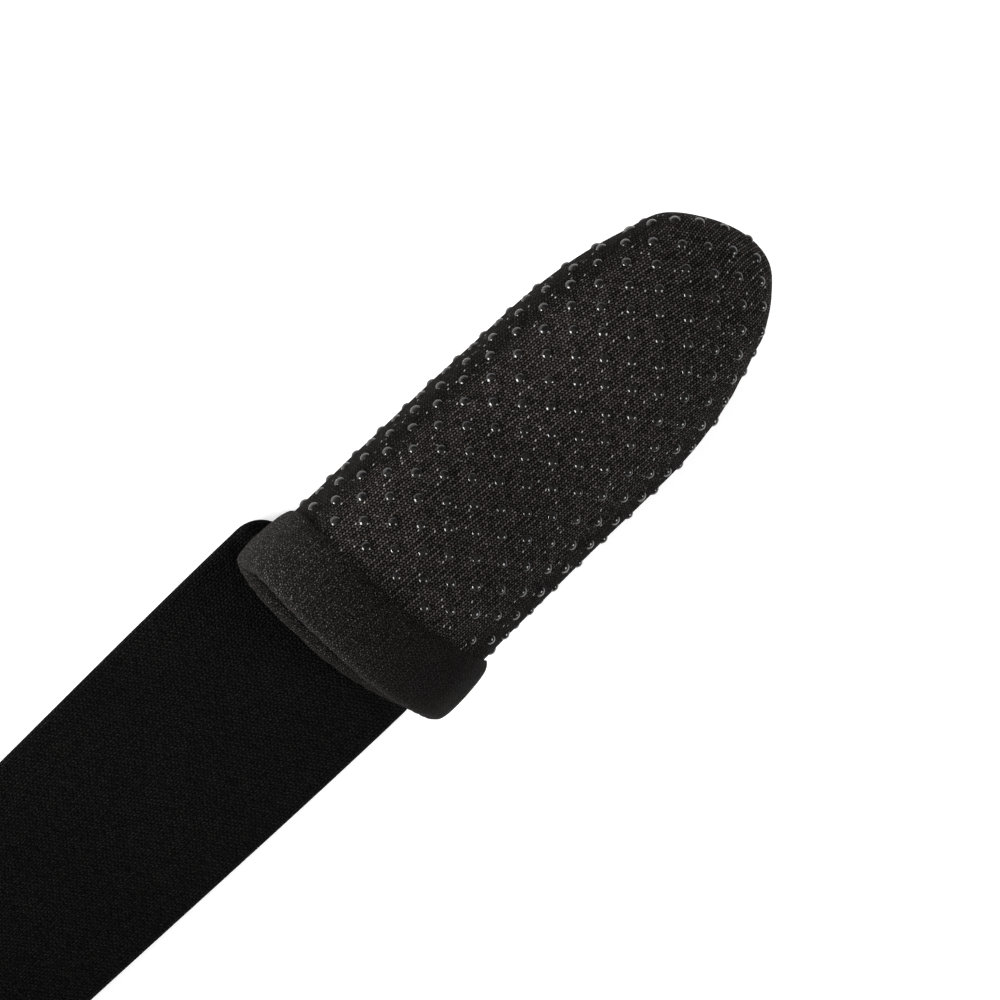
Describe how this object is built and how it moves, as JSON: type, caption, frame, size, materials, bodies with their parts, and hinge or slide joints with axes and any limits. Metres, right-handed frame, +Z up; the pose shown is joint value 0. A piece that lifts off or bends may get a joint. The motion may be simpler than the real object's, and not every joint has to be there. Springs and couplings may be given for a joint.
{
  "type": "fishing finger protector",
  "caption": "Knit finger sleeve with silicone grip dots, a strap over the back of the hand and a wrist band closed by hook and loop.",
  "frame": {"origin": "middle of the overall box, on the surface that the back strap lies on", "axes": "+Y along the finger towards the fingertip, +Z up through the palm side, +X towards the sleeve's seam"},
  "size_m": [0.0674, 0.206, 0.0359],
  "materials": {
    "knit_fabric": "fine ribbed knit, matte",
    "silicone": "glossy domes",
    "cuff_fabric": "matte, slightly fuzzy",
    "strap_fabric": "matte",
    "loop_pile": "fuzzy loop pile",
    "hook_pile": "short stiff hooks"
  },
  "bodies": {
    "root": {"finger_sleeve": "knit_fabric", "grip_dots": "silicone", "cuff": "cuff_fabric", "back_strap": "strap_fabric", "wrist_band": "strap_fabric", "loop_tape": "loop_pile", "hook_tape": "hook_pile"}
  },
  "joints": []
}
